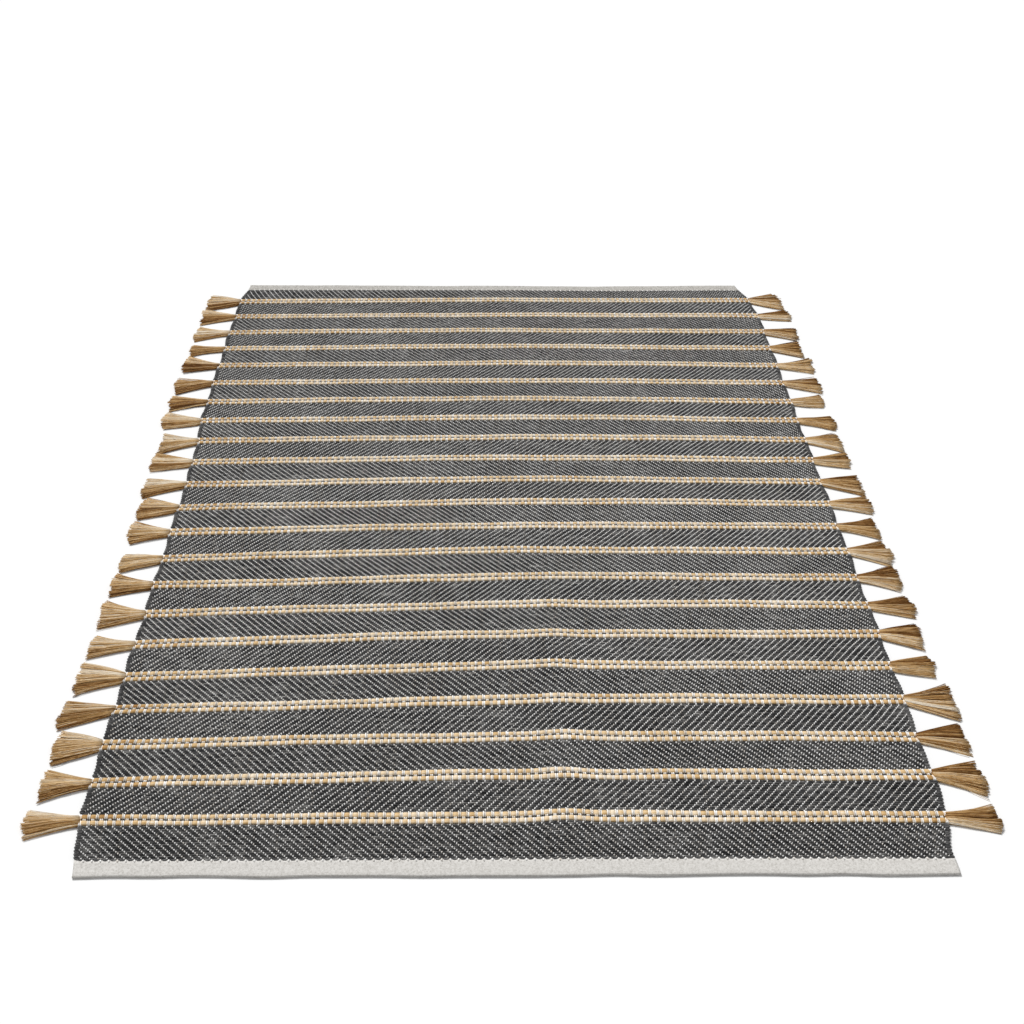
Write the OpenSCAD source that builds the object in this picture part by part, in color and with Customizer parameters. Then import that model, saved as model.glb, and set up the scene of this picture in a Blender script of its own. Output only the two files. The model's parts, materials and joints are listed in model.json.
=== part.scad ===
// Flat-woven rug: charcoal twill cloth crossed by jute stripes that end in tassels,
// with a folded cotton hem at each end. It lies flat, top face up, and rolls up towards +Z
// about a bend line in the middle of every charcoal band.
// Origin: centre of the footprint, on the floor. X across the rug, Y along it, +Z up.

/* [Rug] */
// Woven width, selvedge to selvedge
rug_w = 1400; // [800:50:2000]
// Thickness of the charcoal cloth
cloth_t = 6.4; // [5:0.2:7]
// Centre of the first stripe, measured from the near end
first_stripe = 112; // [90:2:130]
// Distance from one stripe to the next
stripe_pitch = 86; // [76:2:110]
// Far end, measured from the centre of the last stripe
last_stripe = 82; // [78:2:130]

/* [Jute stripe] */
// Width of one flat jute pick, along the rug
pick_w = 10.2; // [9:0.2:11]
// Height of one jute pick
pick_h = 8.4; // [7.4:0.2:8.8]
// Gap between the two jute picks, filled by one thin charcoal pick
pick_gap = 2.0; // [1.6:0.2:3]

/* [Tassel] */
// Length beyond the selvedge
tassel_l = 88; // [50:2:110]
// Width where it leaves the selvedge
tassel_neck = 21; // [16:1:22]
// Width at the cut end
tassel_tip = 58; // [40:2:62]
// Thickness of the flattened bundle
tassel_t = 7.2; // [4:0.2:7.4]

/* [Hem] */
// Depth of the folded hem, along the rug
hem_d = 28; // [20:1:36]
// Height of the folded hem
hem_h = 4.4; // [3.6:0.2:6]
// Thickness of one leaf of hem cloth
leaf_t = 1.9; // [1:0.1:2]

/* [Bend line] */
// Clearance round the pick that each bend turns on
bend_gap = 0.4; // [0.3:0.1:1]

/* [Hidden] */
$fn = 48;
stripes = 22;
seam_gap = 0.3;
rug_l = first_stripe + (stripes - 1) * stripe_pitch + last_stripe;
near_end = -rug_l / 2;
far_end = rug_l / 2;
bend_r = cloth_t / 2 - 0.1;
stripe_half = pick_w + pick_gap / 2;
cloth_start = stripe_half + seam_gap;
divider_r = pick_gap / 2 - 0.1;
hem_fold_r = hem_h / 2;
// How far a tassel's root reaches in from the selvedge
tassel_root = 4;

// Centre of stripe k, counted from the near end
function stripe_y(k) = near_end + first_stripe + (k - 1) * stripe_pitch;

// Bend line k lies in the middle of charcoal band k, and band 1 starts at the near hem
function band_start(k) = k == 1 ? near_end + hem_d : stripe_y(k - 1) + cloth_start;
function band_end(k) = k > stripes ? far_end - hem_d : stripe_y(k) - cloth_start;
function bend_y(k) = (band_start(k) + band_end(k)) / 2;

function numbered(name, k) = str(name, "_", k < 10 ? "0" : "", k);

// Each tassel leans its own way by a few degrees; side is 1 for the right and -1 for the left
max_lean = 5;
function lean(k, side) = max_lean * sin(137.5 * k + 70 * side);

// A bar of round section across the rug at height z, which stops inset short of each selvedge
module cross_rod(y, r, z, inset = 0) {
    translate([-rug_w / 2 + inset, y, z])
        rotate([0, 90, 0])
            cylinder(r = r, h = rug_w - 2 * inset);
}

// A flat stretch of charcoal cloth from y0 to y1
module cloth_slab(y0, y1) {
    translate([-rug_w / 2, y0, 0])
        cube([rug_w, y1 - y0, cloth_t]);
}

// The round weft pick on bend line k, which the next section turns on
module bend_pick(k) {
    cross_rod(bend_y(k), bend_r, cloth_t / 2);
}

// A flat jute pick: a rounded bar of section pick_w by pick_h
module jute_pick(y) {
    r = pick_h / 2;
    reach = pick_w / 2 - r;
    translate([-rug_w / 2, y, r])
        rotate([90, 0, 90])
            linear_extrude(rug_w)
                union() {
                    square([2 * reach, pick_h], center = true);
                    translate([-reach, 0]) circle(r);
                    translate([reach, 0]) circle(r);
                }
}

// The outline of a tassel that leaves the selvedge along +X and ends in a round cut
module tassel_outline() {
    flare = (tassel_tip - tassel_neck) / 2;
    intersection() {
        circle(tassel_l, $fn = 96);
        polygon([
            [-tassel_root, -tassel_neck / 2],
            [tassel_l * 0.18, -tassel_neck / 2],
            [tassel_l * 0.5, -tassel_neck / 2 - flare * 0.4],
            [tassel_l * 1.1, -tassel_tip / 2 - flare * 0.3],
            [tassel_l * 1.1, tassel_tip / 2 + flare * 0.3],
            [tassel_l * 0.5, tassel_neck / 2 + flare * 0.4],
            [tassel_l * 0.18, tassel_neck / 2],
            [-tassel_root, tassel_neck / 2]
        ]);
    }
}

module tassel(k, side) {
    translate([side * rug_w / 2, stripe_y(k), 0])
        rotate([0, 0, (side > 0 ? 0 : 180) + side * lean(k, side)])
            linear_extrude(tassel_t)
                tassel_outline();
}

// One stripe: two jute picks, whose yarn runs out past both selvedges as a tassel
module jute_stripe(k) {
    offset_y = (pick_w + pick_gap) / 2;
    color("burlywood")
        union() {
            jute_pick(stripe_y(k) - offset_y);
            jute_pick(stripe_y(k) + offset_y);
            tassel(k, -1);
            tassel(k, 1);
        }
}

// The charcoal cloth that stripe k carries: from the bend line before it to the one after it,
// with the pick that the next section bends on, and the thin pick between its jute picks,
// which stops short of the tassel roots
module cloth(k) {
    color("dimgray") {
        cloth_slab(bend_y(k) + bend_r + bend_gap, band_end(k));
        cross_rod(stripe_y(k), divider_r, pick_h / 2, tassel_root + 2 * seam_gap);
        cloth_slab(band_start(k + 1), bend_y(k + 1) - bend_r - bend_gap);
        bend_pick(k + 1);
    }
}

module cloth_near() {
    color("dimgray") {
        cloth_slab(band_start(1) + seam_gap, bend_y(1) - bend_r - bend_gap);
        bend_pick(1);
    }
}

module cloth_far() {
    last = stripes + 1;
    color("dimgray")
        cloth_slab(bend_y(last) + bend_r + bend_gap, band_end(last) - seam_gap);
}

// The section of a hem whose fold is at the origin: two leaves joined by a round fold
module hem_section() {
    slot = hem_h - 2 * leaf_t;
    difference() {
        union() {
            translate([hem_fold_r, hem_fold_r]) circle(hem_fold_r);
            translate([hem_fold_r, 0]) square([hem_d - hem_fold_r, hem_h]);
        }
        translate([hem_fold_r, leaf_t]) square([hem_d, slot]);
        translate([hem_fold_r, hem_fold_r]) circle(slot / 2);
    }
}

module hem(side) {
    color("ivory")
        translate([0, side * rug_l / 2, 0])
            rotate([0, 0, side > 0 ? 180 : 0])
                translate([-rug_w / 2, 0, 0])
                    rotate([90, 0, 90])
                        linear_extrude(rug_w)
                            hem_section();
}

module hem_near() {
    hem(-1);
}

module hem_far() {
    hem(1);
}

hem_near();
cloth_near();
for (k = [1 : stripes]) {
    jute_stripe(k);
    cloth(k);
}
cloth_far();
hem_far();
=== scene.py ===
"""A flat-woven rug: charcoal twill bands, jute stripes that end in tassels, cotton hems.

Every yarn is laid out on a flat, straight loom first. settle() then moves it to where it lies in
the finished rug, whose stripes wander a little. All lengths are in metres.
"""

import json
import math

import bpy
import numpy as np
from mathutils import Matrix, Vector


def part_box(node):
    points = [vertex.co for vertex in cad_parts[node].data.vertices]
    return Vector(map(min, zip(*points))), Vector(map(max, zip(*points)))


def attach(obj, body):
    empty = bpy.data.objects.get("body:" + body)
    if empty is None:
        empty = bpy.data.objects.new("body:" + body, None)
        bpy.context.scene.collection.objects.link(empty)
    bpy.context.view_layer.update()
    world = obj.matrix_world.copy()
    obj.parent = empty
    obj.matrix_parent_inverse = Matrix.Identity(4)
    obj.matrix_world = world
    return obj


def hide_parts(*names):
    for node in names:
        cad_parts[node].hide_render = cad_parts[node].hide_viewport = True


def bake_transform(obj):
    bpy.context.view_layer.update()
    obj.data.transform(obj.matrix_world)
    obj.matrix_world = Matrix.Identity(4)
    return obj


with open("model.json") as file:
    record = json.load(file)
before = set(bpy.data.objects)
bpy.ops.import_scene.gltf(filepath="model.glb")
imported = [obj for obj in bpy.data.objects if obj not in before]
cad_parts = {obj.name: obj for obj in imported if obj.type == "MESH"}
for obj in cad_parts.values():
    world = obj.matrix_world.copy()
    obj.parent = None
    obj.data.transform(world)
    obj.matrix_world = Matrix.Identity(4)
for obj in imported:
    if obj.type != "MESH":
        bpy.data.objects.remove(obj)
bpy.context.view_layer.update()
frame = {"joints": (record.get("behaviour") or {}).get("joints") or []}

MM = 0.001
RNG = np.random.RandomState(23)

# ---------------------------------------------------------------- layout, from the frame

BENDS = [j["pos_m"][1] for j in frame["joints"]]
BANDS = len(BENDS)
STRIPES = BANDS - 1
HEM_IN_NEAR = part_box("hem_near")[1].y
HEM_IN_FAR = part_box("hem_far")[0].y
RUG_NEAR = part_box("hem_near")[0].y
RUG_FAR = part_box("hem_far")[1].y
HALF_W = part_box("hem_near")[1].x
TASSEL_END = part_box("jute_stripe_01")[1].x
RUG_LENGTH = RUG_FAR - RUG_NEAR

STRIPE_HALF = 11.5 * MM      # from a stripe's centre to the charcoal beside it

band_start = [HEM_IN_NEAR]
band_end = []
stripe_y = []
for bend in BENDS:
    band_end.append(2 * bend - band_start[-1])
    stripe_y.append(band_end[-1] + STRIPE_HALF)
    band_start.append(stripe_y[-1] + STRIPE_HALF)
stripe_y.pop()
band_start.pop()

# ---------------------------------------------------------------- yarns

PICK_PITCH = 3.5 * MM        # one charcoal weft pick to the next
PICK_HALF = 1.92 * MM        # half the width of a charcoal pick
PICK_TOP = 5.5 * MM          # ridge of a pick where it floats
PICK_LOW = 3.4 * MM          # its lower edges there
DIP_TOP = 3.7 * MM           # ridge where it passes under a white end
DIP_LOW = 1.9 * MM           # its lower edges there
DIP_REACH = 2.5 * MM         # from a white end to where the pick is back at full height

ENDS = 414                   # white warp ends, an odd number of pairs
END_PITCH = 3.35 * MM         # one white end to the next
END_HALF = 1.55 * MM         # half the width of a white end where it shows
END_TOP = 6.25 * MM          # ridge of a white end over a pick
END_CROSS = 3.2 * MM         # ridge of a white end between two picks
END_LOW = 2.0 * MM           # ridge of a white end under the picks
TAUT_DROP = 0.5 * MM         # how much lower the ends ride at the far end, where they lie tauter
TAUT_THIN = 0.24             # and how much thinner they are there, as a share
DOT_REACH = 0.46             # how far a white end shows each side of a pick's line, in picks
END_DEPTH = 1.2 * MM         # ridge to lower edges
FIRST_PHASE = 2              # the white end that shows over a band's first pick, of four
WEFT_STOP = HALF_W - 3.2 * MM  # where a pick ends and the selvedge turn takes over

JUTE_OFFSET = 6.3 * MM       # centre of each jute pick from the stripe's centre
JUTE_HALF = 5.2 * MM         # half the width of a jute pick
JUTE_THICK = 1.7 * MM        # half its thickness
DIVIDER_SPACE = 3.4 * MM     # what the thin pick between two jute picks takes up
DIVIDER_HALF = 1.2 * MM      # half the width of that pick
SELVEDGE_RADIUS = 1.9 * MM   # of the weft where it turns back at the edge
PAIR_DRAW = 0.20             # how far a pair of ends closes up over a stripe, as a share
PAIR_SHADE = 0.32            # how much darker the ends are there

TASSEL_NECK = 10.4 * MM      # half the width of a tassel at the selvedge
TASSEL_STRANDS = 140         # loose strands in each tassel
HEM_HEIGHT = 4.4 * MM
HEM_LEAF = 1.7 * MM          # thickness of each of a hem's two leaves
HEM_LAP = 2.2 * MM           # how far a hem reaches in over the charcoal


def end_x(i):
    """Where white end i crosses the flat loom."""
    return (i + 0.5 - ENDS / 2) * END_PITCH


def pair_is_over_jute(p):
    """Every other pair of ends covers the jute; the rest pass under it."""
    return p % 2 == 1


def twill_way(band):
    """The diagonal leans one way in a band and the other way in the next."""
    return -1 if band % 2 == 0 else 1


# ---------------------------------------------------------------- how the rug lies

# Each row is a place along the rug, 0 at the near end and 1 at the far one, then in millimetres
# how far the weft there lies towards the far end in the middle, and how much less at the left and
# right edges.
LIE = np.array(
    [
        [0.00, -2.0, -2.0, 2.5],
        [0.0145, 0.0, -1.0, 2.5],
        [0.056, -1.5, 2.0, 3.0],
        [0.10, 3.5, 14.0, 4.0],
        [0.15, 4.0, 18.0, 5.0],
        [0.20, 8.5, 27.0, 1.5],
        [0.30, 9.0, 29.0, 3.0],
        [0.42, 6.0, 28.0, 2.5],
        [0.55, 1.5, 23.0, 7.0],
        [0.72, -1.5, 20.0, 7.0],
        [0.86, 1.5, 22.0, 0.0],
        [0.96, 4.0, 23.0, -8.0],
        [0.986, 10.0, 10.0, -9.0],
        [1.00, 12.0, 9.0, -12.0],
    ]
)
NEAR_TAPER = 18 * MM         # how much narrower the near hem is, on each side
FAR_TAPER = (4 * MM, 17 * MM)  # the same at the far hem, left and right
FAR_CORNER = 22 * MM         # how much further the right corner of the far hem is drawn in
NEAR_CORNER = 4 * MM         # the same where the near hem meets the charcoal, on the right
LEFT_BULGE = 12 * MM         # how much wider the far third of the rug is, on the left


def smooth(low, high, value):
    """0 below low, 1 above high, and an S-curve between them."""
    t = np.clip((value - low) / (high - low), 0.0, 1.0)
    return t * t * (3 - 2 * t)


def wander(x, y):
    """How far the weft at (x, y) lies towards the far end of where the loom had it."""
    u = np.clip(x / HALF_W, -1.0, 1.0)
    v = (y - RUG_NEAR) / RUG_LENGTH
    level, left, right = (np.interp(v, LIE[:, 0], LIE[:, i]) for i in (1, 2, 3))
    left_share = np.clip(0.04 - u, 0.0, 1.04) ** 1.12
    right_share = smooth(0.35, 1.0, u)
    inside = smooth(0.02, 0.07, v) * (1 - smooth(0.93, 0.98, v))
    ripple = (
        0.9 * np.sin(6.1 * x + 21.0 * y + 0.4)
        + 0.8 * np.sin(14.3 * x - 33.0 * y + 1.9)
        + 0.5 * np.sin(38.0 * x + 57.0 * y)
    )
    crease = 4.5 * np.exp(-(((x - 0.08) / 0.04) ** 2)) * (1 - smooth(0.2, 0.45, v))
    lie = level - left * left_share - right * right_share
    return MM * (lie + inside * ripple + smooth(0.02, 0.05, v) * crease)


def settle(points):
    """Moves flat-loom points, an array whose last axis is x, y, z, to where they lie in the rug."""
    out = np.array(points, float)
    x, y = points[..., 0], points[..., 1]
    u = np.clip(x / HALF_W, -1, 1)
    v = (y - RUG_NEAR) / RUG_LENGTH
    near = NEAR_TAPER * (1 - smooth(-0.02, 0.085, v))
    far = np.where(x < 0, FAR_TAPER[0], FAR_TAPER[1]) * smooth(0.90, 1.01, v)
    corner = FAR_CORNER * smooth(0.962, 1.0, v) + NEAR_CORNER * np.exp(-(((v - 0.02) / 0.014) ** 2))
    bulge = LEFT_BULGE * smooth(0.55, 0.69, v) * (1 - smooth(0.955, 0.995, v))
    edge = MM * (1.6 * np.sin(31.0 * y + 2.0 * np.sign(x)) + 1.2 * np.sin(83.0 * y + np.sign(x)))
    side = np.where(x < 0, bulge, -corner)
    out[..., 0] += u * (edge * np.abs(u) ** 6 - near - far + side)
    out[..., 1] += wander(x, y)
    return out


# ---------------------------------------------------------------- meshes


class Mesh:
    """Collects vertices, faces and one tone per vertex, then makes one object of them."""

    def __init__(self):
        self.points = []
        self.tones = []
        self.faces = []
        self.count = 0

    def add(self, points, faces, tone):
        """points is (n, 3), faces an (m, corners) array, tone a number or one per point."""
        self.points.append(points)
        self.tones.append(np.broadcast_to(tone, len(points)).astype(np.float32))
        for f in faces:
            self.faces.append(np.asarray(f) + self.count)
        self.count += len(points)

    def tubes(self, rings, tone=0.5):
        """rings is (tubes, stations, corners, 3): closed tubes, all of one shape of grid."""
        tubes, stations, corners, _ = rings.shape
        index = np.arange(tubes * stations * corners).reshape(tubes, stations, corners)
        turned = np.roll(index, -1, axis=2)
        sides = np.stack(
            [index[:, :-1], index[:, 1:], turned[:, 1:], turned[:, :-1]], axis=-1
        ).reshape(-1, 4)
        caps = [index[:, 0], index[:, -1, ::-1]]
        tone = np.asarray(tone, float)
        if tone.ndim == 0:
            tone = np.full(tubes * stations * corners, float(tone))
        if tone.ndim == 1 and len(tone) == tubes:
            tone = np.repeat(tone, stations * corners)
        elif tone.ndim == 2:
            tone = np.repeat(tone.reshape(-1), corners)
        self.add(rings.reshape(-1, 3), [sides, *caps], tone)

    def make(self, name, material):
        """Settles the points into the rug and makes the object."""
        points = settle(np.concatenate(self.points))
        mesh = bpy.data.meshes.new(name)
        mesh.vertices.add(len(points))
        mesh.vertices.foreach_set("co", points.astype(np.float32).ravel())
        corners = np.concatenate([f.ravel() for f in self.faces])
        sizes = np.concatenate([np.full(len(f), f.shape[1]) for f in self.faces])
        mesh.loops.add(len(corners))
        mesh.loops.foreach_set("vertex_index", corners.astype(np.int32))
        mesh.polygons.add(len(sizes))
        starts = np.concatenate([[0], np.cumsum(sizes)[:-1]])
        mesh.polygons.foreach_set("loop_start", starts.astype(np.int32))
        mesh.polygons.foreach_set("use_smooth", np.ones(len(sizes), bool))
        mesh.update(calc_edges=True)
        tone = mesh.attributes.new("tone", "FLOAT", "POINT")
        tone.data.foreach_set("value", np.concatenate(self.tones))
        mesh.materials.append(material)
        mesh.validate()
        obj = bpy.data.objects.new(name, mesh)
        bpy.context.scene.collection.objects.link(obj)
        return obj


def section(centres, offsets):
    """Rings round centres, (..., stations, 3), from offsets, (stations or 1, corners, 3)."""
    return centres[..., :, None, :] + offsets


# ---------------------------------------------------------------- materials


def new_material(name):
    """A node material, with its nodes, its links and its shader."""
    material = bpy.data.materials.new(name)
    material.use_nodes = True
    nodes = material.node_tree.nodes
    return material, nodes, material.node_tree.links, nodes["Principled BSDF"]


def ramp(nodes, stops):
    """A colour ramp from pairs of place and colour."""
    node = nodes.new("ShaderNodeValToRGB")
    elements = node.color_ramp.elements
    while len(elements) < len(stops):
        elements.new(0.5)
    for element, (place, colour) in zip(elements, stops, strict=True):
        element.position = place
        element.color = (*colour, 1.0)
    return node


def noise(nodes, links, vector, scale, detail=3.0, roughness=0.6):
    """A noise texture over vector; returns its grey output."""
    node = nodes.new("ShaderNodeTexNoise")
    node.inputs["Scale"].default_value = scale
    node.inputs["Detail"].default_value = detail
    node.inputs["Roughness"].default_value = roughness
    links.new(vector, node.inputs["Vector"])
    return node.outputs["Fac"]


def maths(nodes, links, operation, a, b):
    """One arithmetic node; a and b are numbers or sockets."""
    node = nodes.new("ShaderNodeMath")
    node.operation = operation
    for socket, value in zip(node.inputs, (a, b)):
        if isinstance(value, (int, float)):
            socket.default_value = value
        else:
            links.new(value, socket)
    return node.outputs[0]


def stretched(nodes, links, scale):
    """Object coordinates scaled by (x, y, z), so that a noise is drawn out along the yarn."""
    coordinates = nodes.new("ShaderNodeTexCoord")
    mapping = nodes.new("ShaderNodeMapping")
    mapping.inputs["Scale"].default_value = scale
    links.new(coordinates.outputs["Object"], mapping.inputs["Vector"])
    return mapping.outputs["Vector"]


def tone_of(nodes):
    """The tone that Mesh wrote at each vertex."""
    node = nodes.new("ShaderNodeAttribute")
    node.attribute_name = "tone"
    return node.outputs["Fac"]


def bump(nodes, links, shader, height, distance, strength=0.6):
    """Fine relief from height, distance metres deep."""
    node = nodes.new("ShaderNodeBump")
    node.inputs["Distance"].default_value = distance
    node.inputs["Strength"].default_value = strength
    links.new(height, node.inputs["Height"])
    links.new(node.outputs["Normal"], shader.inputs["Normal"])


def rough(nodes, links, shader, source, low, high):
    """Roughness from low to high as source goes from 0 to 1."""
    node = nodes.new("ShaderNodeMapRange")
    node.inputs["To Min"].default_value = low
    node.inputs["To Max"].default_value = high
    links.new(source, node.inputs["Value"])
    links.new(node.outputs["Result"], shader.inputs["Roughness"])


def yarn_material(name, along, fibre_scale, stops, tone_share, patch_share, fuzz):
    """A spun yarn: fibres drawn out along the yarn, a tone for each yarn, and slow patches."""
    material, nodes, links, shader = new_material(name)
    fibre_space = stretched(nodes, links, along)
    fibres = noise(nodes, links, fibre_space, fibre_scale, 4.0, 0.7)
    patches = noise(nodes, links, stretched(nodes, links, (1, 1, 1)), 5.0, 3.0)
    tone = maths(nodes, links, "SUBTRACT", tone_of(nodes), 0.5)
    tone = maths(nodes, links, "MULTIPLY", tone, tone_share)
    patch = maths(nodes, links, "SUBTRACT", patches, 0.5)
    patch = maths(nodes, links, "MULTIPLY", patch, patch_share)
    value = maths(nodes, links, "ADD", fibres, tone)
    value = maths(nodes, links, "ADD", value, patch)
    colours = ramp(nodes, stops)
    links.new(value, colours.inputs["Fac"])
    links.new(colours.outputs["Color"], shader.inputs["Base Color"])
    rough(nodes, links, shader, fibres, 0.8, 0.98)
    bump(nodes, links, shader, fibres, fuzz)
    shader.inputs["Specular IOR Level"].default_value = 0.1
    return material


CHARCOAL = yarn_material(
    "charcoal_yarn",
    along=(0.35, 1.0, 1.0),
    fibre_scale=700.0,
    stops=[
        (0.27, (0.024, 0.024, 0.025)),
        (0.48, (0.072, 0.071, 0.072)),
        (0.64, (0.165, 0.161, 0.157)),
        (0.78, (0.400, 0.390, 0.375)),
    ],
    tone_share=0.45,
    patch_share=0.25,
    fuzz=0.5 * MM,
)
COTTON = yarn_material(
    "white_warp_cotton",
    along=(1.0, 0.4, 1.0),
    fibre_scale=800.0,
    stops=[
        (0.12, (0.560, 0.490, 0.400)),
        (0.30, (0.720, 0.665, 0.590)),
        (0.44, (0.870, 0.855, 0.830)),
        (0.62, (0.950, 0.945, 0.930)),
    ],
    tone_share=0.50,
    patch_share=0.2,
    fuzz=0.3 * MM,
)
JUTE = yarn_material(
    "golden_jute",
    along=(0.05, 1.0, 1.0),
    fibre_scale=900.0,
    stops=[
        (0.08, (0.110, 0.042, 0.010)),
        (0.28, (0.300, 0.150, 0.046)),
        (0.45, (0.480, 0.290, 0.115)),
        (0.62, (0.650, 0.460, 0.240)),
        (0.78, (0.740, 0.600, 0.420)),
        (0.95, (0.780, 0.710, 0.600)),
    ],
    tone_share=0.9,
    patch_share=0.15,
    fuzz=0.5 * MM,
)


def hem_material():
    """Plain-woven off-white cotton with a few dark flecks."""
    material, nodes, links, shader = new_material("hem_cotton_cloth")
    place = stretched(nodes, links, (1, 1, 1))
    waves = []
    for direction in ("X", "Y"):
        wave = nodes.new("ShaderNodeTexWave")
        wave.bands_direction = direction
        wave.inputs["Scale"].default_value = 170.0
        wave.inputs["Distortion"].default_value = 0.8
        wave.inputs["Detail Scale"].default_value = 2.0
        links.new(place, wave.inputs["Vector"])
        waves.append(wave.outputs["Fac"])
    weave = maths(nodes, links, "MULTIPLY", waves[0], waves[1])
    fibres = noise(nodes, links, place, 330.0, 5.0, 0.75)
    value = maths(nodes, links, "ADD", fibres, maths(nodes, links, "MULTIPLY", weave, 0.22))
    # A low tone darkens the cloth; the far hem's low tone is painted shade.
    tone = maths(nodes, links, "MULTIPLY", maths(nodes, links, "SUBTRACT", tone_of(nodes), 0.5), 0.5)
    value = maths(nodes, links, "ADD", value, tone)
    colours = ramp(
        nodes,
        [
            (0.24, (0.110, 0.100, 0.085)),
            (0.33, (0.350, 0.335, 0.305)),
            (0.50, (0.510, 0.492, 0.465)),
            (0.74, (0.680, 0.665, 0.635)),
        ],
    )
    links.new(value, colours.inputs["Fac"])
    links.new(colours.outputs["Color"], shader.inputs["Base Color"])
    rough(nodes, links, shader, value, 0.82, 0.96)
    bump(nodes, links, shader, value, 0.5 * MM)
    shader.inputs["Specular IOR Level"].default_value = 0.2
    return material


HEM = hem_material()

# ---------------------------------------------------------------- charcoal bands


def pick_lines(band):
    """The loom places of a band's picks, and their pitch."""
    start, end = band_start[band], band_end[band]
    count = int(round((end - start) / PICK_PITCH))
    pitch = (end - start) / count
    return [start + (j + 0.5) * pitch for j in range(count)], pitch


def pick_phase(band, j):
    """Which of four ends pick j passes under."""
    return (FIRST_PHASE + twill_way(band) * j) % 4


def tent(stations, half, top, low):
    """Corner offsets of a yarn along X: near edge, ridge, far edge; half, top and low per station."""
    offsets = np.zeros((stations, 3, 3))
    offsets[:, 0, 1] = -half
    offsets[:, 2, 1] = half
    offsets[:, 0, 2] = low
    offsets[:, 1, 2] = top
    offsets[:, 2, 2] = low
    return offsets


def add_pick(mesh, y, pitch, phase, nub=0.0):
    """One charcoal pick: it floats over three white ends and dips under the fourth.
    nub swells the floats into round nubs, as beside a hem or a stripe."""
    dips = end_x(np.arange(phase, ENDS, 4))
    steps = np.array([-DIP_REACH, 0.0, DIP_REACH])
    depth = np.array([0.0, 1.0, 0.0])
    swell = np.array([0.0, 0.0, 0.0])
    if nub:
        steps = np.array([-1.5, -0.62, 0.0, 0.62, 1.5]) * DIP_REACH
        depth = np.array([0.0, 0.5, 1.0, 0.5, 0.0])
        swell = np.array([nub, 0.35 * nub, -0.35, 0.35 * nub, nub])
    xs = (dips[:, None] + steps).ravel()
    in_dip = np.tile(depth, len(dips))
    swell = np.tile(swell, len(dips))
    xs = np.concatenate([[-WEFT_STOP], xs, [WEFT_STOP]])
    in_dip = np.concatenate([[0.0], in_dip, [0.0]])
    swell = np.concatenate([[0.0], swell, [0.0]])
    order = np.argsort(xs)
    xs, in_dip, swell = xs[order], in_dip[order], swell[order]
    stations = len(xs)
    half = PICK_HALF * (pitch / PICK_PITCH) * (1 + swell + RNG.normal(0, 0.08, stations))
    top = PICK_TOP + (DIP_TOP - PICK_TOP) * in_dip + RNG.normal(0, 0.2, stations) * MM
    low = PICK_LOW + (DIP_LOW - PICK_LOW) * in_dip
    centres = np.zeros((stations, 3))
    centres[:, 0] = xs
    centres[:, 1] = y + RNG.normal(0, 0.16, stations) * MM
    rings = section(centres, tent(stations, half, top, low))
    slub = np.interp(xs, np.linspace(-HALF_W, HALF_W, 60), RNG.uniform(0.25, 0.75, 60))
    mesh.tubes(rings[None], np.clip(slub + RNG.normal(0, 0.16, stations), 0, 1)[None])


def add_selvedge(mesh, y0, y1, side):
    """The weft turning back round the edge, from one pick to the next."""
    turn = np.linspace(-0.5, 0.5, 5) * math.pi
    reach = HALF_W - WEFT_STOP - 0.8 * MM
    centres = np.zeros((7, 3))
    centres[1:6, 0] = WEFT_STOP + reach * np.cos(turn)
    centres[[0, 6], 0] = WEFT_STOP - 5 * MM
    middle = (y0 + y1) / 2
    centres[1:6, 1] = middle + (y1 - y0) / 2 * np.sin(turn)
    centres[[0, 6], 1] = y0, y1
    centres[:, 0] *= side
    centres[:, 2] = 3.7 * MM + RNG.normal(0, 0.15) * MM
    along = np.gradient(centres, axis=0)
    along /= np.linalg.norm(along, axis=1)[:, None]
    across = np.cross(along, [0, 0, 1.0])
    angles = np.arange(5) * 2 * math.pi / 5
    offsets = SELVEDGE_RADIUS * (
        np.cos(angles)[None, :, None] * across[:, None, :]
        + np.sin(angles)[None, :, None] * np.array([0, 0, 1.15])
    )
    mesh.tubes((centres[:, None, :] + offsets)[None], np.array([RNG.uniform(0.3, 0.7)]))


def add_divider(mesh, y):
    """The thin pick between two jute picks: over the pairs that cover the jute, under the rest."""
    pairs = np.arange(ENDS // 2)
    over = np.array([pair_is_over_jute(p) for p in pairs])
    xs = end_x(pairs * 2 + 0.5)
    centres = np.zeros((len(xs) + 2, 3))
    centres[:, 0] = np.concatenate([[-WEFT_STOP], xs, [WEFT_STOP]])
    centres[:, 1] = y
    high = np.concatenate([[1.0], over.astype(float), [1.0]])
    top = (3.4 + 3.7 * high) * MM
    mesh.tubes(section(centres, tent(len(centres), DIVIDER_HALF, top, top - 1.7 * MM))[None], 0.2)


def add_band_weft(mesh, band):
    """The charcoal picks of a band, and their turns at both selvedges."""
    lines, pitch = pick_lines(band)
    last = len(lines) - 1
    for j, y in enumerate(lines):
        at_hem = (band == 0 and j == 0) or (band == BANDS - 1 and j == last)
        beside_stripe = j in (0, last)
        nub = 0.85 if at_hem else 0.35 if beside_stripe else 0.0
        add_pick(mesh, y, pitch, pick_phase(band, j), nub)
    for side in (-1, 1):
        for j in range(0 if side > 0 else 1, last, 2):
            add_selvedge(mesh, lines[j], lines[j + 1], side)


# ---------------------------------------------------------------- white warp


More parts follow.
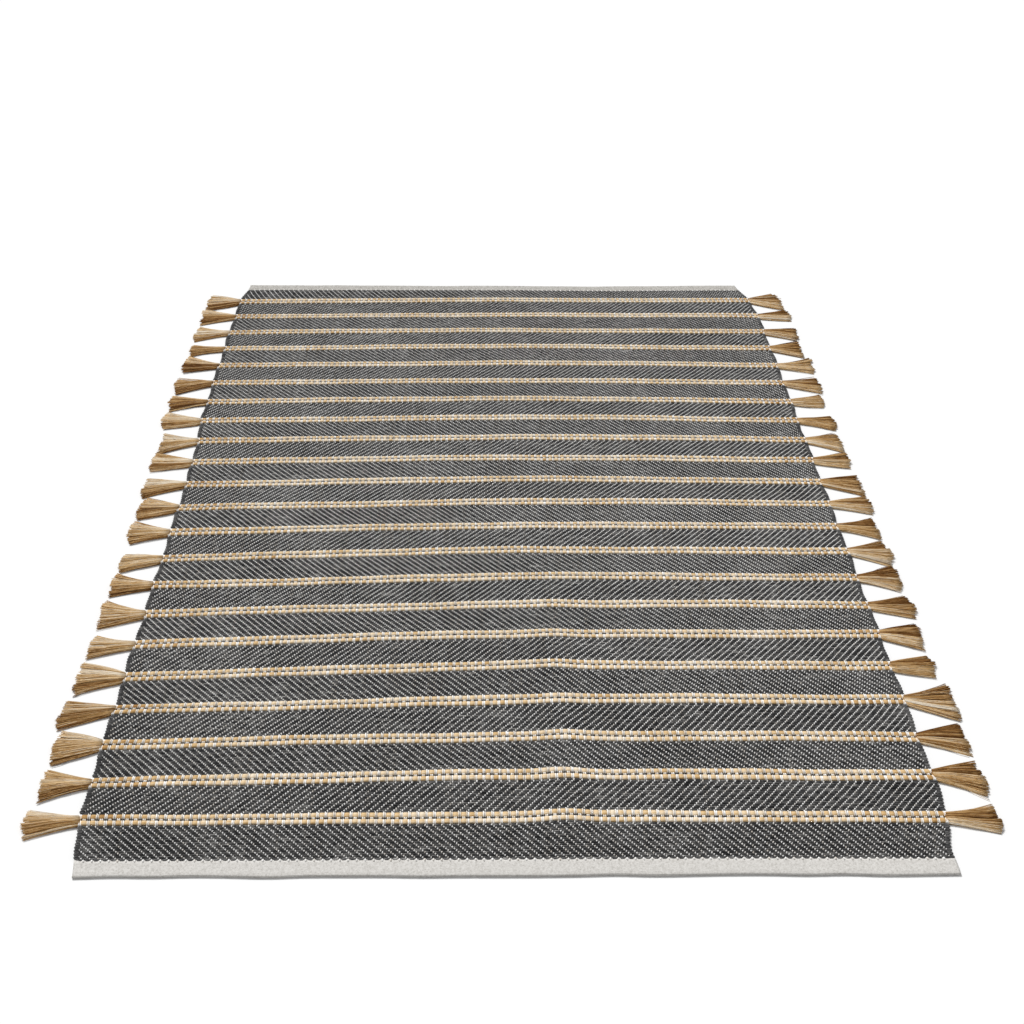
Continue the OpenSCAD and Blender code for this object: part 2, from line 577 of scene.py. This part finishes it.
def add_ends(mesh, ends, ys, zs, halves, squeeze):
    """White ends that all take the same path: ys, zs and half widths per station.
    squeeze draws a pair together and darkens it, from 0, evenly spread, to 1, over a stripe."""
    stations = len(ys)
    xs = end_x(ends)[:, None]
    pair_centre = end_x(ends - ends % 2 + 0.5)[:, None]
    drawn = pair_centre + (xs - pair_centre) * (1 - PAIR_DRAW * np.asarray(squeeze)[None, :])
    rings = np.zeros((len(ends), stations, 3, 3))
    wobble = RNG.normal(0, 0.12, (len(ends), stations)) * MM
    lift = RNG.normal(0, 0.10, (len(ends), stations)) * MM
    halves = np.asarray(halves)[None, :] * (1 + RNG.normal(0, 0.06, (len(ends), stations)))
    ys = np.asarray(ys)[None, :] + RNG.normal(0, 0.10, (len(ends), stations)) * MM
    zs = np.asarray(zs)[None, :] + lift
    rings[..., 0, 0] = drawn + wobble + halves
    rings[..., 1, 0] = drawn + wobble
    rings[..., 2, 0] = drawn + wobble - halves
    rings[..., 1] = ys[..., None]
    rings[..., 0, 2] = zs - END_DEPTH
    rings[..., 1, 2] = zs
    rings[..., 2, 2] = zs - END_DEPTH
    shade = PAIR_SHADE * np.asarray(squeeze)[None, :]
    mesh.tubes(rings, RNG.uniform(0.2, 0.8, (len(ends), 1)) - shade)


def stripe_path(over):
    """Stations of a white end across one stripe, measured from the stripe's centre."""
    if over:
        ys = np.array([-12.1, -10.7, -2.5, -1.3, 1.3, 2.5, 10.7, 12.1]) * MM
        zs = np.array([5.2, 7.1, 7.0, 4.0, 4.0, 7.0, 7.1, 5.2]) * MM
        halves = np.array([1.3, 1.42, 1.4, 1.1, 1.1, 1.4, 1.42, 1.3]) * MM
    else:
        ys = np.array([-11.4, -8.6, -2.9, -1.3, 1.3, 2.9, 8.6, 11.4]) * MM
        zs = np.array([3.2, 2.2, 4.4, 7.2, 7.2, 4.4, 2.2, 3.2]) * MM
        halves = np.array([1.2, 1.4, 1.2, 1.4, 1.4, 1.2, 1.4, 1.2]) * MM
    return ys, zs, halves


def band_path(band, phase):
    """Stations of a white end across one band: over one pick in four, under the other three."""
    lines, pitch = pick_lines(band)
    shown = [j for j in range(len(lines)) if pick_phase(band, j) == phase]
    taut = smooth(5, BANDS, band)
    top = END_TOP - taut * TAUT_DROP
    half = END_HALF * (1 - TAUT_THIN * taut)
    stations = {}
    for j in [shown[0] - 4, *shown, shown[-1] + 4]:
        stations[j] = (top, half)
        stations[j - DOT_REACH] = (END_CROSS, 0.6 * half)
        stations[j + DOT_REACH] = (END_CROSS, 0.6 * half)
        stations[j + 2] = (END_LOW, 0.95 * half)
    inside = [j for j in sorted(stations) if -0.3 < j < len(lines) - 0.7]
    ys = np.array([lines[0] + j * pitch for j in inside])
    zs = np.array([stations[j][0] for j in inside])
    halves = np.array([stations[j][1] for j in inside])
    return ys, zs, halves


def add_band_warp(mesh, band):
    """The white ends of a band, of the stripe before it, and where they enter a hem."""
    for phase in range(4):
        for over in (False, True):
            ends = np.array(
                [
                    i
                    for i in range(ENDS)
                    if i % 4 == phase and pair_is_over_jute(i // 2) == over
                ]
            )
            if len(ends) == 0:
                continue
            ys, zs, halves = band_path(band, phase)
            squeeze = np.zeros(len(ys))
            if band > 0:
                stripe, stripe_z, stripe_half = stripe_path(over)
                ys = np.concatenate([stripe_y[band - 1] + stripe, ys])
                zs = np.concatenate([stripe_z, zs])
                halves = np.concatenate([stripe_half, halves])
                squeeze = np.concatenate([np.ones(len(stripe)), squeeze])
            if band == 0 and pick_phase(0, 0) == phase:
                ys = np.concatenate([[HEM_IN_NEAR - 2.5 * MM], ys])
                zs = np.concatenate([[5.6 * MM], zs])
                halves = np.concatenate([[1.5 * MM], halves])
                squeeze = np.concatenate([[0.0], squeeze])
            last = len(pick_lines(band)[0]) - 1
            if band == BANDS - 1 and pick_phase(band, last) == phase:
                ys = np.concatenate([ys, [HEM_IN_FAR + 2.5 * MM]])
                zs = np.concatenate([zs, [5.6 * MM]])
                halves = np.concatenate([halves, [1.5 * MM]])
                squeeze = np.concatenate([squeeze, [0.0]])
            add_ends(mesh, ends, ys, zs, halves, squeeze)
    if band > 0:
        add_collars(mesh, stripe_y[band - 1])


def add_collars(mesh, y):
    """The outermost ends, bound round the jute where it leaves the selvedge."""
    ys, zs, halves = stripe_path(True)
    for side in (-1, 1):
        for offset in (1.9, 4.7):
            x = side * (HALF_W - offset * MM)
            ring = np.zeros((1, len(ys), 4, 3))
            ring[0, :, :, 0] = x + np.array([1.0, 0.0, -1.0, 0.0]) * halves[:, None]
            ring[0, :, :, 1] = (y + ys)[:, None]
            ring[0, :, :, 2] = zs[:, None] + np.array([-1.6, 0.0, -1.6, 0.0]) * MM
            ring[0, :, 3, 2] = 0.6 * MM
            mesh.tubes(ring, np.array([0.5]))


# ---------------------------------------------------------------- jute rows and tassels


def add_jute_pick(mesh, y):
    """A flat jute pick: it dips under the pairs that cover it and rises over the rest."""
    pairs = np.arange(ENDS // 2)
    covered = np.array([pair_is_over_jute(p) for p in pairs]).astype(float)
    centre = end_x(pairs * 2 + 0.5)
    crown = np.where(covered > 0, 1.9, 2.9) * MM
    xs = np.stack([centre - crown, centre + crown], axis=1).ravel()
    dip = np.repeat(covered, 2)
    xs = np.concatenate([[-HALF_W + 1 * MM], xs, [HALF_W - 1 * MM]])
    dip = np.concatenate([[0.8], dip, [0.8]])
    stations = len(xs)
    middle = (5.4 - 2.3 * dip) * MM
    across = np.array([-1.0, -0.62, -0.2, 0.2, 0.62, 1.0, 0.5, -0.5])
    height = np.array([0.0, 0.9, 1.08, 1.08, 0.9, 0.0, -1.0, -1.0])
    cells = np.repeat(RNG.normal(0, 1, len(pairs)), 2)
    cells = np.concatenate([[0.0], cells, [0.0]])
    rings = np.zeros((1, stations, 8, 3))
    width = JUTE_HALF * (1 - 0.06 * dip + 0.03 * cells)
    rings[0, :, :, 0] = xs[:, None]
    rings[0, :, :, 1] = y + across * width[:, None]
    thick = JUTE_THICK * (1 - 0.15 * dip)
    rings[0, :, :, 2] = middle[:, None] + height * thick[:, None]
    long_tone = np.interp(xs, np.linspace(-HALF_W, HALF_W, 24), RNG.uniform(0.60, 0.80, 24))
    edge_tone = -0.20 * smooth(0.5, 0.7, np.abs(xs))
    tone = np.clip(long_tone + 0.055 * cells + edge_tone, 0, 1)
    mesh.tubes(rings, tone[None])


def tassel_lean(k, side):
    """The same lean as the CAD solid's, in degrees, towards the far end where positive."""
    return 5.0 * math.sin(math.radians(137.5 * k + 70 * side)) * side


class Tassel:
    """Where a tassel's strands run: t is 0 at the selvedge and 1 at the cut, s is -1 to 1 across."""

    def __init__(self, k, side):
        self.y = stripe_y[k - 1]
        self.side = side
        self.lean = math.radians(0.8 * tassel_lean(k, side) - 2.0)
        self.length = (TASSEL_END - HALF_W) * RNG.uniform(0.90, 1.03)
        self.tip = RNG.uniform(27, 42) * MM
        self.sway = RNG.uniform(-1, 1) * 6 * MM
        self.flare = RNG.uniform(0.75, 1.35)
        locks = RNG.randint(6, 10)
        self.lock_at = np.sort(np.linspace(-1, 1, locks) + RNG.uniform(-0.12, 0.12, locks))
        self.lock_lift = RNG.uniform(-1, 1, locks)
        self.lock_tone = RNG.normal(0, 0.13, locks)
        self.own_tone = RNG.normal(0.04, 0.06)
        self.lock_cut = RNG.normal(0, 0.022, locks)
        self.lock_pull = RNG.uniform(0.1, 0.5)

    def place(self, s, t):
        """x beyond the selvedge and y from the stripe's centre, on the flat loom."""
        spread = TASSEL_NECK + (self.tip - TASSEL_NECK) * np.clip(t + 0.06, 0, 2) ** self.flare
        across = s * spread + self.sway * t * t
        reach = self.length * t * (1 - 0.045 * s * s)
        return reach, across + np.tan(self.lean) * reach

    def height(self, s, t):
        """Top of the bundle."""
        crown = 7.6 - 2.6 * smooth(0.1, 1.0, t)
        return MM * (crown * (1 - 0.6 * np.clip(np.abs(s), 0, 1) ** 2.6) + 1.0)

    def tone(self, s):
        """The far and near halves hold the two jute picks and are painted lighter and darker as a lit
        and a shaded side: painted light and shade, the far half lighter on the left and darker on the
        right.
        """
        half = np.tanh(3.0 * s)
        if self.side < 0:
            return self.own_tone + 0.52 + 0.20 * half
        return self.own_tone + 0.46 - 0.20 * half


def add_tassel(mesh, k, side):
    """The tassel of stripe k at one side: -1 is left, 1 is right."""
    tassel = Tassel(k, side)
    add_tassel_core(mesh, tassel)
    add_tassel_strands(mesh, tassel)


def add_tassel_core(mesh, tassel):
    """The closed bundle under the loose strands, with locks that run along it."""
    columns, rows = 33, 9
    s = np.linspace(-0.96, 0.96, columns)
    t = np.linspace(-0.05, 0.95, rows)
    grid_t, grid_s = np.meshgrid(t, s, indexing="ij")
    cut = 1 + np.interp(s, tassel.lock_at, tassel.lock_cut)
    reach, y = tassel.place(grid_s, np.where(grid_t > 0.7, grid_t * cut, grid_t))
    lock_number = np.interp(s, tassel.lock_at, np.arange(len(tassel.lock_at)))
    locks = 0.5 + 0.5 * np.cos(2 * math.pi * lock_number)
    top = tassel.height(grid_s, grid_t) - 2.2 * MM + 1.0 * MM * locks * smooth(0.1, 0.6, grid_t)
    x = tassel.side * (HALF_W + reach)
    upper = np.stack([x, tassel.y + y, np.maximum(top, 1.2 * MM)], axis=-1)
    lower = np.stack([x, tassel.y + y, np.full_like(x, 0.3 * MM)], axis=-1)
    points = np.concatenate([upper.reshape(-1, 3), lower.reshape(-1, 3)])
    index = np.arange(rows * columns).reshape(rows, columns)
    under = index + rows * columns
    sheet = np.stack([index[:-1, :-1], index[:-1, 1:], index[1:, 1:], index[1:, :-1]], axis=-1)
    faces = [sheet.reshape(-1, 4), (sheet + rows * columns).reshape(-1, 4)[:, ::-1]]
    for rim in (index[0], index[-1][::-1], index[:, 0][::-1], index[:, -1]):
        below = rim + (under.flat[0] - index.flat[0])
        faces.append(np.stack([rim[1:], rim[:-1], below[:-1], below[1:]], axis=-1))
    if tassel.side < 0:
        faces = [f[:, ::-1] for f in faces]
    # Painted shade: the core, which shows between the strands, is painted darker than them, and
    # darker again in the grooves between locks.
    tone = np.clip(tassel.tone(s) - 0.20 + 0.12 * locks, 0, 1)
    tone = np.tile(tone, rows)
    mesh.add(points, faces, np.concatenate([tone, tone]))


def add_tassel_strands(mesh, tassel):
    """Loose jute strands over the core, drawn together in locks and cut nearly level."""
    count = TASSEL_STRANDS
    stations = 7
    s0 = np.linspace(-1, 1, count) + RNG.normal(0, 0.02, count)
    lock = np.abs(s0[:, None] - tassel.lock_at[None, :]).argmin(axis=1)
    pull = tassel.lock_pull * (tassel.lock_at[lock] - s0)
    stray = RNG.normal(0, 0.05, count)
    strays_far = RNG.uniform(0, 1, count) < 0.05
    stray = stray + strays_far * RNG.normal(0, 0.35, count)
    ends = 0.985 + tassel.lock_cut[lock] + RNG.normal(0, 0.012, count)
    t = np.linspace(-0.03, 1.0, stations)[None, :] * ends[:, None]
    drift = np.clip(t, 0, None) ** 1.5
    s = np.clip(s0[:, None] + (pull + stray)[:, None] * drift, -1.08, 1.08)
    reach, y = tassel.place(s, t)
    layer = RNG.uniform(0, 1, count)[:, None]
    lift = 0.8 * MM * tassel.lock_lift[lock][:, None] * smooth(0.05, 0.5, t)
    top = tassel.height(np.clip(s, -1, 1), t) + lift - 1.6 * MM * layer
    wave = RNG.normal(0, 0.4, (count, 1)) * MM * np.sin(5 * t + RNG.uniform(0, 6, (count, 1)))
    centres = np.stack(
        [tassel.side * (HALF_W + reach), tassel.y + y + wave, np.maximum(top, 0.9 * MM)], axis=-1
    )
    radius = RNG.uniform(0.5, 0.85, count)[:, None, None] * MM
    angles = np.arange(3) * 2 * math.pi / 3 + math.pi / 2
    rings = np.repeat(centres[:, :, None, :], 3, axis=2)
    rings[..., 1] += tassel.side * radius * np.cos(angles)
    rings[..., 2] += radius * 0.85 * np.sin(angles)
    lights = tassel.tone(s0) + tassel.lock_tone[lock] + RNG.normal(0, 0.17, count)
    # Painted shade: strands that lie lower in the bundle are painted darker.
    lights = lights - 0.14 * layer[:, 0]
    darker = 1 - 0.08 * smooth(0.0, 1.0, t)
    mesh.tubes(rings, np.clip(lights[:, None] * darker, 0.02, 0.98))


# ---------------------------------------------------------------- hems


def add_hem(mesh, outer, inner, tone):
    """A strip folded under itself, open towards the charcoal, with a soft uneven fold."""
    into = 1.0 if inner > outer else -1.0
    depth = abs(inner - outer) + HEM_LAP
    height = HEM_HEIGHT
    leaf = HEM_LEAF
    half = height / 2
    turn = np.linspace(0.5, 1.5, 7) * math.pi
    across = np.concatenate(
        [[depth, depth * 0.8, depth * 0.55, depth * 0.3], half + half * np.cos(turn)]
    )
    across = np.concatenate([across, [depth * 0.3, depth * 0.55, depth * 0.8, depth]])
    up = np.concatenate([np.full(4, height), half + half * np.sin(turn), np.zeros(4)])
    inside_across = np.concatenate(
        [[depth, depth * 0.5], half + (half - leaf) * np.cos(turn[::2]), [depth * 0.5, depth]]
    )
    inside_up = np.concatenate(
        [[height - leaf] * 2, half + (half - leaf) * np.sin(turn[::2]), [leaf] * 2]
    )
    profile = np.stack(
        [
            np.concatenate([across, inside_across[::-1]]),
            np.concatenate([up, inside_up[::-1]]),
        ],
        axis=-1,
    )
    xs = np.linspace(-HALF_W, HALF_W, 419)
    wave = np.interp(xs, np.linspace(-HALF_W, HALF_W, 24), RNG.normal(0, 0.8, 24)) * MM
    wave = np.convolve(np.pad(wave, 8, mode="edge"), np.ones(17) / 17, mode="valid")
    pegs = 0.22 * MM * np.cos((xs - end_x(pick_phase(0, 0))) * 2 * math.pi / (4 * END_PITCH))
    corners = len(profile)
    rings = np.zeros((1, len(xs), corners, 3))
    near_fold = 1 - smooth(0, 12 * MM, profile[:, 0])
    near_top = smooth(14 * MM, depth, profile[:, 0]) * (profile[:, 1] > half)
    rings[0, :, :, 0] = xs[:, None]
    rings[0, :, :, 1] = outer + into * (profile[:, 0] + wave[:, None] * near_fold)
    rings[0, :, :, 2] = profile[:, 1] + pegs[:, None] * near_top
    if into > 0:
        rings = rings[:, :, ::-1]
    mesh.tubes(rings, tone)


# ---------------------------------------------------------------- assembly


def section_body(k):
    """The body that carries stripe k; the ends of the rug come before 1 and after the last."""
    if k == 0:
        return "near_end"
    if k > STRIPES:
        return "far_end"
    return f"section_{k:02d}"


def bend_with(obj):
    """Bakes the placement of a band's piece into its mesh."""
    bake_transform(obj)


def cut_length(band):
    """How long a band was woven: its mean length where it lies, with its divider."""
    xs = np.linspace(-HALF_W, HALF_W, 60)
    start, end = (
        settle(np.stack([xs, np.full(60, y), np.zeros(60)], axis=-1))[:, 1].mean()
        for y in (band_start[band], band_end[band])
    )
    return end - start + (DIVIDER_SPACE if band > 0 else 0)


def cloth_nodes(band):
    """The CAD nodes that a band's weft stands for."""
    if band == 0:
        return ["cloth_near"]
    nodes = [f"cloth_{band:02d}"]
    if band == BANDS - 1:
        nodes.append("cloth_far")
    return nodes


for band in range(BANDS):
    weft = Mesh()
    add_band_weft(weft, band)
    if band > 0:
        add_divider(weft, stripe_y[band - 1])
    weft_piece = weft.make(f"charcoal_band_{band + 1:02d}", CHARCOAL)
    warp = Mesh()
    add_band_warp(warp, band)
    warp_piece = warp.make(f"white_warp_{band + 1:02d}", COTTON)
    for piece, slot in ((weft_piece, "charcoal_weave"), (warp_piece, "warp_cotton")):
        bend_with(piece)
    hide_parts(*cloth_nodes(band))
    cut_length(band)

for k in range(1, STRIPES + 1):
    jute = Mesh()
    for way in (-1, 1):
        add_jute_pick(jute, stripe_y[k - 1] + way * JUTE_OFFSET)
        add_tassel(jute, k, way)
    jute_piece = jute.make(f"jute_row_{k:02d}", JUTE)
    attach(jute_piece, section_body(k))
    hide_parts(f"jute_stripe_{k:02d}")

# The far hem's tone, 0.2 against 0.5 at the near hem, is painted shade that makes the far hem darker.
for name, body, outer, inner, tone in (
    ("near", "near_end", RUG_NEAR, HEM_IN_NEAR, 0.5),
    ("far", "far_end", RUG_FAR, HEM_IN_FAR, 0.2),
):
    hem = Mesh()
    add_hem(hem, outer, inner, tone)
    hem_piece = hem.make(f"cotton_hem_{name}", HEM)
    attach(hem_piece, body)
    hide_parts(f"hem_{name}")

# ---------------------------------------------------------------- studio

FLOOR_HALF = 40.0
FLOOR_GREY = 0.82
SKY_STRENGTH = 0.42
SUN_STRENGTH = 3.65
SUN_WIDTH = math.radians(15)
SUN_TOWARDS = (0.30, -0.62, -0.68)
LENS = 44.7                  # millimetres, on a sensor 36 mm wide
CAMERA_X = -0.0714
CAMERA_BACK = 1.2418         # in front of the rug's near edge
CAMERA_HEIGHT = 1.6087
CAMERA_TURN = -2.12          # degrees about the upright axis
CAMERA_TILT = 90 - 36.33     # degrees up from straight down
CAMERA_ROLL = 1.402


def add_floor():
    """A white floor, far larger than any view of the rug."""
    mesh = bpy.data.meshes.new("floor")
    corners = [(-1, -1), (1, -1), (1, 1), (-1, 1)]
    points = [(x * FLOOR_HALF, y * FLOOR_HALF, 0) for x, y in corners]
    mesh.from_pydata(points, [], [(0, 1, 2, 3)])
    floor = bpy.data.objects.new("floor", mesh)
    bpy.context.scene.collection.objects.link(floor)
    material, _, _, shader = new_material("studio_floor")
    shader.inputs["Base Color"].default_value = (FLOOR_GREY, FLOOR_GREY, FLOOR_GREY, 1)
    shader.inputs["Roughness"].default_value = 1.0
    shader.inputs["Specular IOR Level"].default_value = 0.0
    mesh.materials.append(material)


def add_light():
    """A soft white sky, and one soft sun from behind the rug and to the left."""
    world = bpy.data.worlds.new("studio")
    bpy.context.scene.world = world
    world.use_nodes = True
    background = world.node_tree.nodes["Background"]
    background.inputs["Color"].default_value = (1, 1, 1, 1)
    background.inputs["Strength"].default_value = SKY_STRENGTH
    lamp = bpy.data.lights.new("soft_lamp", "SUN")
    lamp.energy = SUN_STRENGTH
    lamp.angle = SUN_WIDTH
    lamp_object = bpy.data.objects.new("soft_lamp", lamp)
    towards = Vector(SUN_TOWARDS)
    lamp_object.rotation_euler = towards.to_track_quat("-Z", "Y").to_euler()
    bpy.context.scene.collection.objects.link(lamp_object)


def add_camera():
    """Stands in front of the near end and looks down the rug."""
    camera = bpy.data.cameras.new("camera")
    camera.sensor_width = 36.0
    camera.lens = LENS
    camera.clip_end = 100.0
    camera_object = bpy.data.objects.new("camera", camera)
    camera_object.location = (CAMERA_X, RUG_NEAR - CAMERA_BACK, CAMERA_HEIGHT)
    turn, tilt, roll = (math.radians(a) for a in (CAMERA_TURN, CAMERA_TILT, CAMERA_ROLL))
    aim = Matrix.Rotation(turn, 3, "Z") @ Matrix.Rotation(tilt, 3, "X")
    aim = aim @ Matrix.Rotation(roll, 3, "Z")
    camera_object.rotation_euler = aim.to_euler()
    bpy.context.scene.collection.objects.link(camera_object)
    bpy.context.scene.camera = camera_object


add_floor()
add_light()
add_camera()
bpy.context.scene.view_settings.view_transform = "Standard"
bpy.context.scene.view_settings.look = "None"

bpy.context.view_layer.update()
